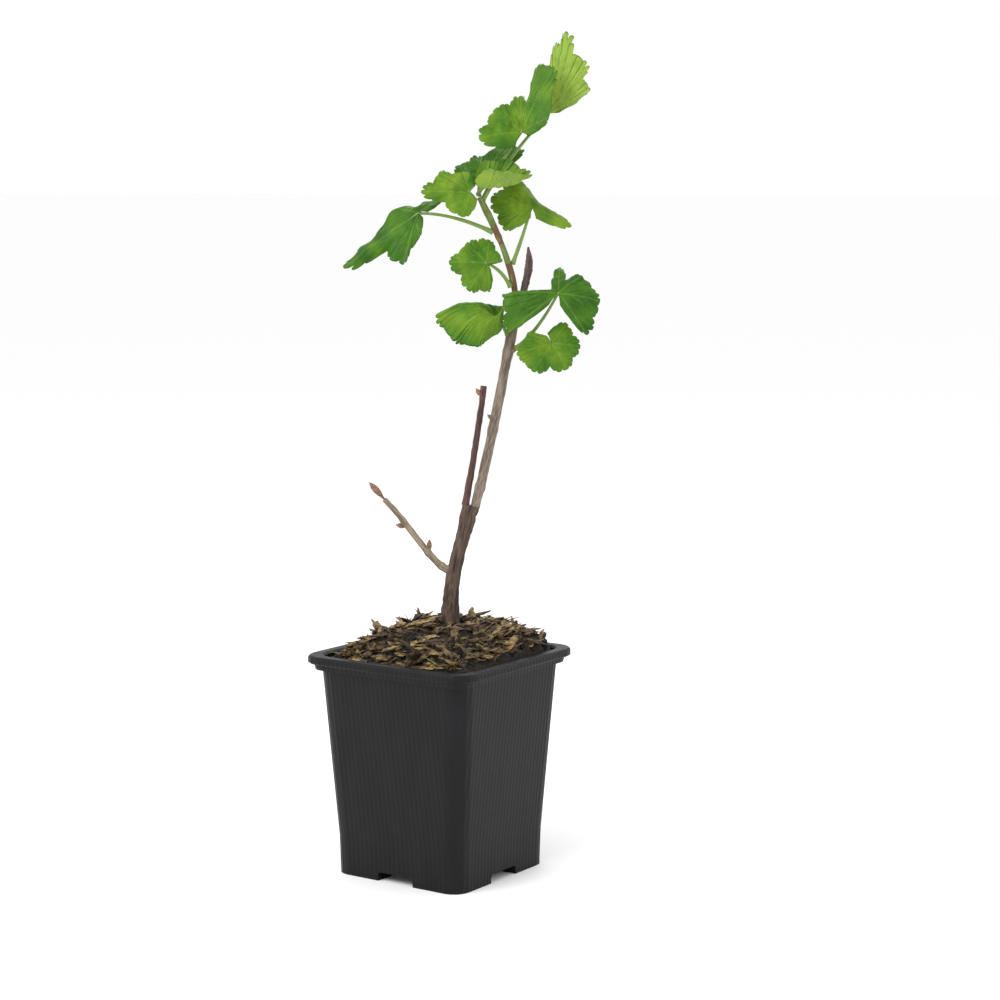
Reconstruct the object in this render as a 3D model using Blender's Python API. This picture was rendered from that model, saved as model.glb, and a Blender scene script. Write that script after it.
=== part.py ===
"""A young jostaberry bush in a square nursery pot.

Sizes are in millimetres and become metres where a mesh is made. The pot's walls lie
along X and Y, and its feet stand on Z = 0. The plant was measured by looking at one
corner of the pot, so its points are written (right, up, near): right across that view
and near towards the viewer from the middle of the pot, and up from the ground.
"""

import math
from typing import NamedTuple

import bmesh
import bpy
import numpy as np

MM = 0.001
GAP = 0.3

# Pot
POT_CENTRE = (-8.0, 0.0)
POT_HEIGHT = 99.5
RIM_WIDTH = 90.0
RIM_CORNER = 10.0
LIP_HEIGHT = 3.8
COLLAR_WIDTH = 84.6
COLLAR_HEIGHT = 2.9
BODY_WIDTH = 80.0
HEEL_WIDTH = 69.4
HEEL_HEIGHT = 17.0
BASE_WIDTH = 68.6
BASE_CORNER = 7.5
WALL = 1.2
EDGE = 0.9
CORNER_STEPS = 5
CHANNEL_WIDTH = 19.0
CHANNEL_HEIGHT = 4.0
DRAIN_WIDTH = 7.0
DRAIN_SPACING = 20.0
DRAIN_SIDES = 12

# Potting mix, a mound round the trunk
MIX_EDGE_HEIGHT = 98.5
MIX_TOP_HEIGHT = 112.0
MIX_TOP_WIDTH = 13.0
MIX_RINGS = 5
MIX_STEEPNESS = 2.8
MIX_ROUGHNESS = 0.9
MIX_SEED = 7

# Stems and leaves
VIEW_TURN = math.radians(34.7)
LIMB_SIDES = 10
LIMB_RINGS = 17
BUD_RINGS = 6
BUD_SIDES = 6
STALK_RINGS = 8
STALK_SIDES = 6
STALK_WIDTH = 2.0
STALK_END_WIDTH = 1.1
RIB_SHARE = 0.3
BLADE_THICKNESS = 0.5
BLADE_ROWS = 3
TEETH_PER_LOBE = 5
TOOTH_POINTS = 3
TOOTH_DEPTH = 0.055
NOTCH_REACH = 0.88
NOTCH_LEVELS = (0.2, 0.96)
LOBE_FULLNESS = 0.85
HEEL_WIDTH_SHARE = 0.36
HEEL_REACH = 0.22

RIGHT = np.array([math.cos(VIEW_TURN), math.sin(VIEW_TURN), 0.0])
NEAR = np.array([math.sin(VIEW_TURN), -math.cos(VIEW_TURN), 0.0])
UP = np.array([0.0, 0.0, 1.0])


class Bud(NamedTuple):
    """A bud: its place along the limb, the way it points, its length and its width."""

    share: float
    way: tuple
    length: float
    width: float


class Limb(NamedTuple):
    """A stem: the points that draw its curve, its widths from foot to tip, and its buds.

    Depths are the widths seen from the side, where those differ. A knot is a swelling:
    its place along the limb and how much it adds to the width.
    """

    curve: tuple
    widths: tuple
    depths: tuple = ()
    knots: tuple = ()
    buds: tuple = ()


class Leaf(NamedTuple):
    """A palmate leaf: its stalk's start and bend, the blade's base, and the lobes' tips.

    The tips run from left to right as seen from above with the base nearest. A notch lies
    between each two of them, this share of the way out to the middle between their tips,
    and the outer lobes' heels have this share of the usual width. The rise lifts the
    blade's middle towards its upper side, out of the straight lines from base to tips.
    """

    start: tuple
    bend: tuple
    base: tuple
    tips: tuple
    notches: tuple = ()
    heels: tuple = (1, 1)
    rise: float = 1.0


LIMBS = {
    "trunk": Limb(
        curve=((4.4, MIX_TOP_HEIGHT + GAP, 0), (4.4, 135, 0), (10, 150, 0), (13.8, 165, 0)),
        widths=(8.6, 6.6, 6.0, 5.7, 5.8, 6.8, 7.8),
        depths=(8.2, 6.4, 5.8, 5.5, 5.3, 5.2, 5.2),
    ),
    "leader": Limb(
        curve=((15.9, 165.0, 0), (21.5, 187, -3), (27.5, 217, -2.5), (34.6, 257.6, 2)),
        widths=(4.2, 4.3, 4.2, 4.2, 4.9),
        knots=((0.13, 0.7), (0.44, 0.6), (0.62, 0.3), (0.78, 0.5)),
        buds=(Bud(0.48, (-1, 1, 0.3), 2.6, 1.8), Bud(0.775, (1, 1, 0.2), 4.0, 2.6)),
    ),
    "cut_stub": Limb(
        curve=((11.5, 166.1, 0), (14, 180, -2), (17.5, 200, -3.5), (19.6, 217.9, -4)),
        widths=(3.4, 3.0, 2.7, 2.6, 2.7),
        buds=(Bud(0.9, (-1, 1.5, 0), 4.0, 2.0),),
    ),
    "side_twig": Limb(
        curve=((2.9, 136.4, 0.5), (-3, 138, 2.5), (-13, 157, 6), (-24.3, 168.7, 8)),
        widths=(3.6, 3.1, 2.9, 2.6, 2.2),
        knots=((0.15, 0.5), (0.38, 0.5), (0.75, 0.4)),
        buds=(
            Bud(0.36, (0, 1, 0), 5.0, 2.2),
            Bud(0.68, (-1, 0.2, 0), 4.4, 2.2),
            Bud(0.98, (-1, 1.2, 0.3), 10.5, 2.8),
        ),
    ),
    "bud_spur": Limb(
        curve=((36.6, 258.1, 1), (38.8, 267, -0.5), (40.4, 272, -2), (39, 279.3, -2)),
        widths=(2.8, 3.1, 3.3, 3.4, 2.6, 0.7),
    ),
    "new_shoot": Limb(
        curve=((33.5, 258.5, 2), (32, 272, 3.5), (25, 287, 5), (17.8, 301, 6)),
        widths=(2.3, 2.9, 2.8, 2.3, 2.7, 3.2, 2.4),
        knots=((0.6, 0.4),),
    ),
}

FOLIAGE = {
    "foliage_top": (
        Leaf(
            start=(19.6, 300.6, 4.5),
            bend=(30, 318, -1),
            base=(48, 337.5, -8),
            tips=((66, 348, -4), (64.5, 360, -6), (55.5, 373, -8), (51.5, 368.5, -12), (45, 352.5, -16)),
            heels=(0.3, 1),
        ),
        Leaf(
            start=(19.6, 300.6, 4.5),
            bend=(24, 312, 3),
            base=(36, 329, 2),
            tips=(
                (17.5, 326.5, 6),
                (24.5, 339, -2),
                (36, 345.5, -6),
                (44, 359, -6),
                (50, 357.5, -1),
                (48, 335, 8),
            ),
            notches=(0.95, 0.85, 0.5, 0.97, 1.05),
            heels=(1, 0.7),
        ),
    ),
    "foliage_crown": (
        Leaf(
            start=(17.5, 302.8, 4.5),
            bend=(17.5, 304.5, 3),
            base=(17.5, 306, 1),
            tips=((7.5, 314.5, -4), (18.5, 319, -12), (30, 325, -16), (37.5, 321.5, -10)),
            notches=(0.95, 0.95, 0.95),
            heels=(1, 0.3),
        ),
        Leaf(
            start=(17.5, 302.8, 4.5),
            bend=(18, 304, 6.5),
            base=(19.5, 305, 9),
            tips=((21.5, 317, 5), (32, 317, 7), (41, 310, 12), (34.5, 311.5, 18), (23.5, 313, 20)),
            notches=(0.95, 0.95, 0.95, 0.95),
            rise=-1.5,
        ),
    ),
    "foliage_crown_left": (
        Leaf(
            start=(15.4, 300.5, 7.5),
            bend=(14.6, 302, 9),
            base=(13.5, 303, 11),
            tips=((10.5, 292.5, 14), (-7.5, 303.5, 14), (0.5, 312, 9), (10.5, 312, 9)),
            notches=(0.85, 0.92, 0.92),
        ),
    ),
    "foliage_far_left": (
        Leaf(
            start=(22.6, 286.3, 5),
            bend=(5.5, 294.5, 9),
            base=(-9, 294, 10),
            tips=((-8.5, 283.5, 16), (-15, 272, 18), (-41, 270.5, 14), (-19, 296, 2), (1, 299.5, 2)),
            notches=(0.9, 0.7, 0.88, 0.8),
            heels=(0.6, 0.6),
        ),
    ),
    "foliage_right": (
        Leaf(
            start=(32.6, 273, 2),
            bend=(36.5, 283, -3),
            base=(40.5, 296.5, -6),
            tips=((28.5, 286.5, -2), (22.5, 300, -8), (31.5, 310.5, -16), (58, 288, -4)),
            notches=(0.95, 0.9, 0.75),
            heels=(0.6, 0.7),
        ),
    ),
    "foliage_fork_left": (
        Leaf(
            start=(30.8, 263, 3.6),
            bend=(27, 270.5, 5.5),
            base=(20.5, 272.5, 8),
            tips=((22.5, 260, 10), (13, 260.5, 12), (4.5, 273, 10), (12, 281, 6), (22, 283, 4), (28, 273.5, 7)),
            notches=(0.92, 0.88, 0.95, 0.95, 0.92),
            heels=(0.4, 0.4),
        ),
    ),
    "foliage_low_left": (
        Leaf(
            start=(29.4, 242, 2.5),
            bend=(28.5, 244, 3),
            base=(27, 246.5, 4),
            tips=((24.5, 241, 8), (17, 236, 10), (6, 239, 10), (-1.5, 249.5, 5), (8, 248.5, -14), (21.5, 246.5, -10)),
            notches=(1, 1, 1, 0.9, 0.9),
            heels=(0.6, 0.4),
            rise=8,
        ),
    ),
    "foliage_low_right": (
        Leaf(
            start=(34.4, 235.5, 1.5),
            bend=(43, 242, 6),
            base=(52, 259.5, 10),
            tips=(
                (29.5, 242, 14),
                (27.5, 259.5, 10),
                (53, 270, -4),
                (63, 267, 3),
                (70.5, 256, 8),
                (64.5, 241.5, 14),
            ),
            notches=(0.95, 0.25, 0.55, 0.97, 0.97),
            heels=(0.15, 0.3),
        ),
        Leaf(
            start=(34.4, 235.5, 1.5),
            bend=(43, 239, 3),
            base=(49, 237.5, 6),
            tips=(
                (56, 246, 4),
                (62, 236, 6),
                (56, 226, 8),
                (41, 225.5, 12),
                (34, 233, 12),
                (38.5, 242, 10),
            ),
            notches=(0.92, 0.95, 0.85, 0.98, 0.98),
            heels=(1, 0.5),
        ),
    ),
}

COLOURS = {
    "pot": ((0.018, 0.018, 0.021), 0.42),
    "potting_mix": ((0.045, 0.028, 0.014), 0.95),
    "trunk": ((0.07, 0.045, 0.03), 0.85),
    "leader": ((0.23, 0.18, 0.14), 0.7),
    "cut_stub": ((0.1, 0.05, 0.04), 0.7),
    "side_twig": ((0.3, 0.23, 0.17), 0.7),
    "bud_spur": ((0.11, 0.075, 0.06), 0.75),
    "new_shoot": ((0.17, 0.17, 0.06), 0.55),
    "foliage": ((0.09, 0.22, 0.025), 0.5),
}


def spot(point):
    """Place in the pot's frame, in mm, of a point measured across the view."""
    right, up, near = point
    return right * RIGHT + up * UP + near * NEAR + np.array([*POT_CENTRE, 0.0])


def direction(way):
    right, up, near = way
    vector = right * RIGHT + up * UP + near * NEAR
    return vector / np.linalg.norm(vector)


def bezier(points, count):
    """Points along the curve that starts at the first point, ends at the last and leans to the rest."""
    order = len(points) - 1
    along = np.linspace(0, 1, count)[:, None]
    return sum(
        math.comb(order, k) * along**k * (1 - along) ** (order - k) * point for k, point in enumerate(points)
    )


def finish(colour, roughness):
    material = bpy.data.materials.new("finish")
    material.use_nodes = True
    shader = material.node_tree.nodes["Principled BSDF"]
    shader.inputs["Base Color"].default_value = (*colour, 1)
    shader.inputs["Roughness"].default_value = roughness
    return material


def add_object(name, points, faces):
    """Object whose mesh has these points, in mm, and these faces."""
    mesh = bpy.data.meshes.new(name)
    mesh.from_pydata((np.asarray(points) * MM).tolist(), [], faces)
    body = bpy.data.objects.new(name, mesh)
    bpy.context.scene.collection.objects.link(body)
    return body


def reshape(body, operation):
    """Runs a bmesh operation on the object's own mesh."""
    shape = bmesh.new()
    shape.from_mesh(body.data)
    operation(shape)
    shape.to_mesh(body.data)
    shape.free()


def turn_outwards(body):
    reshape(body, lambda shape: bmesh.ops.recalc_face_normals(shape, faces=shape.faces))


def loft(name, rings):
    """Closed skin over rings of equally many points, capped on the first and the last."""
    rings = np.asarray(rings)
    rows, around = rings.shape[:2]
    index = np.arange(rows * around).reshape(rows, around)
    after = np.roll(index, -1, axis=1)
    sides = np.stack([index[:-1], after[:-1], after[1:], index[1:]], axis=-1).reshape(-1, 4)
    body = add_object(name, rings.reshape(-1, 3), [*sides.tolist(), index[0].tolist(), index[-1].tolist()])
    turn_outwards(body)
    return body


def tube(name, path, widths, depths, sides):
    """Loft of ovals square to a path, with their widths across the view and their depths along it."""
    ahead = np.gradient(path, axis=0)
    ahead /= np.linalg.norm(ahead, axis=1)[:, None]
    across = np.cross(ahead[0], NEAR if abs(ahead[0] @ NEAR) < 0.8 else UP)
    turn = np.linspace(0, 2 * math.pi, sides, endpoint=False)[:, None]
    rings = []
    for centre, forward, width, depth in zip(path, ahead, widths, depths):
        across = across - (across @ forward) * forward
        across /= np.linalg.norm(across)
        beside = np.cross(forward, across)
        rings.append(centre + np.cos(turn) * across * width / 2 + np.sin(turn) * beside * depth / 2)
    return loft(name, rings)


def unite(name, pieces):
    """One closed body from pieces that run into each other."""
    body, *others = pieces
    body.name = name
    if not others:
        return body
    group = bpy.data.collections.new(name)
    bpy.context.scene.collection.children.link(group)
    for piece in others:
        bpy.context.scene.collection.objects.unlink(piece)
        group.objects.link(piece)
    union = body.modifiers.new("Union", "BOOLEAN")
    union.operation = "UNION"
    union.operand_type = "COLLECTION"
    union.collection = group
    settle(body)
    for piece in others:
        bpy.data.objects.remove(piece)
    bpy.data.collections.remove(group)
    return body


def settle(body):
    """Applies the object's modifiers."""
    graph = bpy.context.evaluated_depsgraph_get()
    mesh = bpy.data.meshes.new_from_object(body.evaluated_get(graph))
    body.modifiers.clear()
    body.data = mesh


def cut(body, cutters):
    """Takes the cutters' shapes out of the object."""
    for cutter in cutters:
        difference = body.modifiers.new("Cut", "BOOLEAN")
        difference.operation = "DIFFERENCE"
        difference.object = cutter
    settle(body)
    for cutter in cutters:
        bpy.data.objects.remove(cutter)


def square_ring(width, corner, height, centre=POT_CENTRE):
    """Rounded square, anticlockwise: a quarter turn of each corner's arc, joined by straight sides."""
    quarters = np.repeat(np.arange(4), CORNER_STEPS) * math.pi / 2
    turn = quarters + np.tile(np.linspace(0, math.pi / 2, CORNER_STEPS), 4)
    reach = math.sqrt(2) * (width / 2 - corner)
    x = centre[0] + reach * np.cos(quarters + math.pi / 4) + corner * np.cos(turn)
    y = centre[1] + reach * np.sin(quarters + math.pi / 4) + corner * np.sin(turn)
    return np.stack([x, y, np.full_like(x, height)], axis=1)


def inside_rings(clearance):
    """Rings of the pot's hollow, from its floor to under its lip, this much smaller all round."""
    inset = 2 * (WALL + clearance)
    floor = CHANNEL_HEIGHT + WALL + clearance
    return [
        square_ring(BASE_WIDTH - inset, BASE_CORNER - WALL, floor),
        square_ring(HEEL_WIDTH - inset, BASE_CORNER - WALL, HEEL_HEIGHT),
        square_ring(BODY_WIDTH - inset, RIM_CORNER - 2 * WALL, POT_HEIGHT - LIP_HEIGHT - COLLAR_HEIGHT),
    ]


def make_pot():
    """Tapered square wall with a stepped collar and a rolled lip, on four feet between drain channels."""
    body_top = POT_HEIGHT - LIP_HEIGHT - COLLAR_HEIGHT
    collar_top = POT_HEIGHT - LIP_HEIGHT
    collar_corner = RIM_CORNER - (RIM_WIDTH - COLLAR_WIDTH) / 2
    body_corner = RIM_CORNER - WALL
    mouth = BODY_WIDTH - 2 * WALL + EDGE
    pot = loft(
        "pot",
        [
            square_ring(BASE_WIDTH, BASE_CORNER, 0),
            square_ring(HEEL_WIDTH, BASE_CORNER, HEEL_HEIGHT),
            square_ring(BODY_WIDTH, body_corner, body_top),
            square_ring(COLLAR_WIDTH - EDGE, collar_corner, body_top + EDGE / 3),
            square_ring(COLLAR_WIDTH, collar_corner, collar_top),
            square_ring(RIM_WIDTH - EDGE, RIM_CORNER, collar_top + EDGE / 3),
            square_ring(RIM_WIDTH, RIM_CORNER, collar_top + EDGE),
            square_ring(RIM_WIDTH, RIM_CORNER, POT_HEIGHT - EDGE),
            square_ring(RIM_WIDTH - 2 * EDGE, RIM_CORNER - EDGE, POT_HEIGHT),
            square_ring(mouth + 2 * EDGE, body_corner, POT_HEIGHT),
            square_ring(mouth, body_corner - EDGE, POT_HEIGHT - EDGE),
            *reversed(inside_rings(0)),
        ],
    )
    cut(pot, [drain_channel(RIM_WIDTH, CHANNEL_WIDTH), drain_channel(CHANNEL_WIDTH, RIM_WIDTH), *drain_holes()])
    return pot


def drain_channel(length, width):
    """Block that cuts a channel across the pot's underside, its top edges slanting in."""
    x, y = POT_CENTRE
    corners = np.array([(1, 1), (-1, 1), (-1, -1), (1, -1)]) / 2
    rings = [
        np.c_[corners * (length - slant, width - slant) + (x, y), np.full(4, height)]
        for slant, height in ((0, -CHANNEL_HEIGHT), (0, CHANNEL_HEIGHT - EDGE), (2 * EDGE, CHANNEL_HEIGHT))
    ]
    return loft("channel", rings)


def drain_holes():
    """Rods that cut one hole in the middle of the floor and one in each arm of the channels."""
    turn = np.linspace(0, 2 * math.pi, DRAIN_SIDES, endpoint=False)
    circle = np.stack([np.cos(turn), np.sin(turn)], axis=1) * DRAIN_WIDTH / 2
    holes = []
    for x, y in ((0, 0), (1, 0), (0, 1), (-1, 0), (0, -1)):
        middle = np.array(POT_CENTRE) + DRAIN_SPACING * np.array([x, y])
        heights = (CHANNEL_HEIGHT - WALL, CHANNEL_HEIGHT + 2 * WALL)
        holes.append(loft("hole", [np.c_[circle + middle, np.full(DRAIN_SIDES, height)] for height in heights]))
    return holes


def make_potting_mix():
    """Filling of the pot, with a rough mound that flattens into a small level top round the trunk."""
    brim = inside_rings(GAP)
    edge_width = BODY_WIDTH - 2 * (WALL + GAP)
    trunk_foot = spot(LIMBS["trunk"].curve[0])[:2]
    rough = np.random.default_rng(MIX_SEED)
    mound = []
    for share in np.linspace(1, MIX_TOP_WIDTH / edge_width, MIX_RINGS + 1):
        width = edge_width * share
        corner = width / 2 * (1 - share) + (RIM_CORNER - 2 * WALL) * share
        centre = trunk_foot + (np.array(POT_CENTRE) - trunk_foot) * share
        drop = (MIX_TOP_HEIGHT - MIX_EDGE_HEIGHT) * share**MIX_STEEPNESS
        mound.append(square_ring(width, corner, MIX_TOP_HEIGHT - drop, centre))
    mound[-1][:, 2] = MIX_TOP_HEIGHT
    for ring in mound[1:-1]:
        ring[:, 2] += MIX_ROUGHNESS * rough.normal(size=len(ring))
    return loft("potting_mix", [*brim, *mound])


def make_limb(name, limb):
    """Tapering stem along its curve, with its knots and with its buds grown into it."""
    path = bezier([spot(point) for point in limb.curve], LIMB_RINGS)
    along = np.linspace(0, 1, LIMB_RINGS)
    swell = sum((extra * np.exp(-(((along - share) / 0.03) ** 2)) for share, extra in limb.knots), 0 * along)
    widths, depths = (
        np.interp(along, np.linspace(0, 1, len(sizes)), sizes) + swell
        for sizes in (limb.widths, limb.depths or limb.widths)
    )
    stem = tube(name, path, widths, depths, LIMB_SIDES)
    buds = []
    for bud in limb.buds:
        root = np.array([np.interp(bud.share, along, path[:, axis]) for axis in range(3)])
        growth = np.linspace(0, 1, BUD_RINGS)
        length = bud.length + np.interp(bud.share, along, widths) / 2
        girth = bud.width * np.sin(math.pi * np.clip(growth**1.3, 0.12, 0.94))
        way = direction(bud.way)
        buds.append(tube("bud", root + growth[:, None] * length * way, girth, girth, BUD_SIDES))
    return unite(name, [stem, *buds])


def lobe_margin(base, tip, left, right):
    """Edge of one lobe, from the notch on its left over its tip to the notch on its right.

    Each half is a quarter of an ellipse about the point of the lobe's rib that is level
    with the notch, filled out towards a square, with cuts into it that leave round teeth.
    """
    turn = np.linspace(-1, 1, TEETH_PER_LOBE * TOOTH_POINTS + 1)[:, None]
    notch = np.where(turn < 0, left, right)
    rib = tip - base
    level = np.clip((notch - base) @ rib / (rib @ rib), *NOTCH_LEVELS)
    centre = base + level[:, None] * rib
    lengthways = np.clip(np.cos(turn * math.pi / 2), 0, 1) ** LOBE_FULLNESS
    sideways = np.abs(np.sin(turn * math.pi / 2)) ** LOBE_FULLNESS
    out = lengthways * (tip - centre) + sideways * (notch - centre)
    teeth = np.sqrt(np.abs(np.sin((turn + 1) / 2 * TEETH_PER_LOBE * math.pi)))
    cut_in = (1 - teeth) * lengthways * TOOTH_DEPTH * np.linalg.norm(rib)
    return centre + out * (1 - cut_in / np.linalg.norm(out, axis=1)[:, None])


def heel(arm, notch, share):
    """Where an outer lobe's edge starts, beside its rib and across it from the notch."""
    rib = arm / np.linalg.norm(arm)
    beside = (notch @ rib) * rib - notch
    beside /= np.linalg.norm(beside)
    return np.linalg.norm(arm) * (HEEL_REACH * rib + share * HEEL_WIDTH_SHARE * beside)


def blade_margin(leaf):
    """Edge of the whole blade: its lobes in turn, with a notch between each two of them."""
    base = spot(leaf.base)
    arms = [spot(tip) - base for tip in leaf.tips]
    reaches = leaf.notches or [NOTCH_REACH] * (len(arms) - 1)
    notches = [reach * (one + other) / 2 for reach, one, other in zip(reaches, arms, arms[1:])]
    first, last = (heel(arms[end], notches[end], share) for end, share in zip((0, -1), leaf.heels))
    ends = [base + end for end in (first, *notches, last)]
    lobes = [lobe_margin(base, base + arm, left, right) for arm, left, right in zip(arms, ends, ends[1:])]
    return np.concatenate([lobes[0], *(lobe[1:] for lobe in lobes[1:])])


def make_blade(leaf, rise):
    """Leaf blade: rings of faces round its base, and a face with six sides for each tooth."""
    base = spot(leaf.base)
    margin = blade_margin(leaf)
    gaps = margin[::TOOTH_POINTS]
    rings = [
        base + share * (gaps - base) + 4 * share * (1 - share) * rise
        for share in np.arange(1, BLADE_ROWS) / BLADE_ROWS
    ]
    columns = len(gaps)
    index = 1 + np.arange(len(rings) * columns).reshape(len(rings), columns)
    edge = index.size + 1 + np.arange(len(margin))
    faces = [(0, one, other) for one, other in zip(index[0], index[0][1:])]
    faces += np.stack([index[:-1, :-1], index[1:, :-1], index[1:, 1:], index[:-1, 1:]], -1).reshape(-1, 4).tolist()
    for tooth in range(columns - 1):
        first = tooth * TOOTH_POINTS
        around = edge[first : first + TOOTH_POINTS + 1]
        faces.append([index[-1][tooth], *around, index[-1][tooth + 1]])
    blade = add_object("blade", np.concatenate([[base], *rings, margin]), [[int(i) for i in face] for face in faces])
    reshape(blade, lambda shape: bmesh.ops.triangulate(shape, faces=shape.faces))
    solidify = blade.modifiers.new("Thickness", "SOLIDIFY")
    solidify.thickness = BLADE_THICKNESS * MM
    solidify.offset = 0
    settle(blade)
    return blade


def make_leaf(leaf):
    """Stalk that runs on into the blade as the middle lobe's rib, and the blade."""
    base = spot(leaf.base)
    arms = [spot(tip) - base for tip in leaf.tips]
    upwards = sum(np.cross(other, one) for one, other in zip(arms, arms[1:]))
    rise = leaf.rise * upwards / np.linalg.norm(upwards)
    arm = arms[len(arms) // 2]
    stalk = bezier([spot(leaf.start), spot(leaf.bend), base], STALK_RINGS)
    rib = base + RIB_SHARE * arm + 4 * RIB_SHARE * (1 - RIB_SHARE) * rise
    path = np.concatenate([stalk, [rib]])
    widths = np.append(np.linspace(STALK_WIDTH, STALK_END_WIDTH, STALK_RINGS), BLADE_THICKNESS)
    return [tube("stalk", path, widths, widths, STALK_SIDES), make_blade(leaf, rise)]


def make_plant():
    for name, limb in LIMBS.items():
        make_limb(name, limb)
    for name, leaves in FOLIAGE.items():
        unite(name, [piece for leaf in leaves for piece in make_leaf(leaf)])


def clear_scene():
    for old in list(bpy.data.objects):
        bpy.data.objects.remove(old)


def main():
    clear_scene()
    make_pot()
    make_potting_mix()
    make_plant()
    for body in bpy.context.scene.collection.objects:
        kind = "foliage" if body.name.startswith("foliage") else body.name
        material = finish(*COLOURS[kind])
        material.name = body.name
        body.data.materials.clear()
        body.data.materials.append(material)


main()
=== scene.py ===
"""A young jostaberry bush in a square nursery pot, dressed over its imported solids.

Shapes are worked out in millimetres and become metres where a mesh is made. The pot's
walls lie along X and Y and its feet stand on Z = 0. Points of the plant are written
(right, up, near): right across the view onto one corner of the pot, up from the ground,
and near towards the viewer from the pot's middle. A pair of numbers is a lowest and a
highest value. A share is a part of the way along a stem or out across a leaf, from 0 to 1.
"""

import math
from typing import NamedTuple

import bpy
import numpy as np
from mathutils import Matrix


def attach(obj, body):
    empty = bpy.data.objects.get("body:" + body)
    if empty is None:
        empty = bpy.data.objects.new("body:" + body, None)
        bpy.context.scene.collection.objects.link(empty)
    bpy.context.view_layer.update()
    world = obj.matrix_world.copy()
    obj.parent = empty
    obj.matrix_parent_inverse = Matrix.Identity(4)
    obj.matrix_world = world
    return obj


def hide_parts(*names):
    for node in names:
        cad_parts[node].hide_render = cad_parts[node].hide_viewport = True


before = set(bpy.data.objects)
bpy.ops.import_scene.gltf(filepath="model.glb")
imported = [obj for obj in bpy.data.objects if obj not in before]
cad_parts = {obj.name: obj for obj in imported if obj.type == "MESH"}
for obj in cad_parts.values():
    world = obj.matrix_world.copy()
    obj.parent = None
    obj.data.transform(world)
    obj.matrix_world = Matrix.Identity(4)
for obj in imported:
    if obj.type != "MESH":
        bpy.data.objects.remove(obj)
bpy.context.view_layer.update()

MM = 0.001
WELD_STEPS_PER_MM = 1e4
NO_LENGTH = 1e-9
NEARLY_ALONG = 0.8
POT_CENTRE = np.array([-8.0, 0.0, 0.0])
VIEW_TURN = math.radians(34.7)
RIGHT = np.array([math.cos(VIEW_TURN), math.sin(VIEW_TURN), 0.0])
NEAR = np.array([math.sin(VIEW_TURN), -math.cos(VIEW_TURN), 0.0])
UP = np.array([0.0, 0.0, 1.0])

# Smooth noise
NOISE_WAVES = 18
NOISE_SPREAD = (0.6, 1.7)

# Camera, from the pot's middle
CAMERA_PITCH = math.radians(7.28)
CAMERA_PLACE = (26.7, 306.4, 1087.8)
CAMERA_LENS = 88.84
CAMERA_SENSOR = 36.0
CAMERA_REACH_M = 200.0

# Studio
FLOOR_HALF_WIDTH_M = 60.0
LAMPS_AIM = (0, 180, 0)
LAMPS_DISTANCE_M = 1.1

# Pot
RIB_PITCH = 2.5

# Potting mix
SOIL_EDGE_HEIGHT = 98.0
SOIL_TOP_HEIGHT = 111.5
SOIL_STEEPNESS = 2.8
SOIL_HALF_WIDTH = 38.2
SOIL_CORNER = 7.5
SHARPEST_CORNER = 9
SOIL_DEPTH = 10.0
SOIL_SINK = 0.5
SOIL_RINGS = 90
SOIL_FIRST_RING = 0.01
SOIL_COLUMNS = 240
SOIL_LUMPS = ((1.1, 9.0, 51), (0.7, 3.6, 52), (0.35, 1.6, 53))
CALM_LUMPS = 0.4
WALL_ROOM = 1.3
TRUNK_ROOM = 4.0
SPREAD_ROOM = 2.0
LENGTH_BIAS = 1.8
TRIES_PER_PIECE = 3

# Chips, whose rings swell from one blunt end to the other
CHIP_SWELL = (0.25, 0.85, 1.0, 0.95, 0.8, 0.3)
CHIP_SIDES = 6
CHIP_TIP = 1.02
CHIP_ROUGHNESS = 0.22
CHIP_BEND = 0.5

# Stems
STEM_RINGS = 120
STEM_SIDES = 56
FIBRE_STRETCH = 7
FIBRE_SIZES = (0.9, 2.6)
FIBRE_WEIGHT = 0.6
KNOT_SHARE = 0.025
JOIN_DEPTH = 1.1
BUD_RINGS = 36
BUD_SIDES = 20
BUD_FULLNESS = 1.3
BUD_ENDS = (0.12, 0.985)
BUD_SCALES = 5
BUD_SCALE_STEP = 0.09
BUD_RELIEF = 0.05
BUD_MARK = 2
STEM_SEED = 100
STEM_SEED_STEP = 10
BUD_SEED = 5

# Leaf stalks
STALK_RINGS = 40
STALK_SIDES = 16
STALK_WIDTH = 1.9
STALK_END_WIDTH = 1.1
STALK_RELIEF = 0.03
STALK_FOOT_RINGS = 6
STALK_FOOT_SWELL = 0.5
RIB_RINGS = 5
RIB_SHARES = (0.02, 0.12)
RIB_WIDTHS = (1, 0.4)

# Leaf outlines
TEETH_PER_LOBE = 5
TOOTH_POINTS = 10
TOOTH_DEPTH = 0.08
TOOTH_VARIETY = (0.7, 1.3)
TOOTH_CHANGES = 9
DEEPEST_CUT = 0.6
NOTCH_REACH = 0.88
NOTCH_LEVELS = (0.2, 0.96)
LOBE_FULLNESS = 0.85
HEEL_WIDTH_SHARE = 0.36
HEEL_REACH = 0.22

# Leaf veins
RIB_END = 0.97
SIDE_VEIN_SHARES = (0.3, 0.55, 0.8, 0.55, 0.3)
SIDE_VEIN_END = 0.94
SIDE_VEIN_GIRTH = 0.55
VEIN_WIDTH = 0.42
VEIN_TAPER = (1.15, 0.7)
VEIN_FADE = (0.6, 0.4)
VEIN_SLOPE = 0.9

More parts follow.
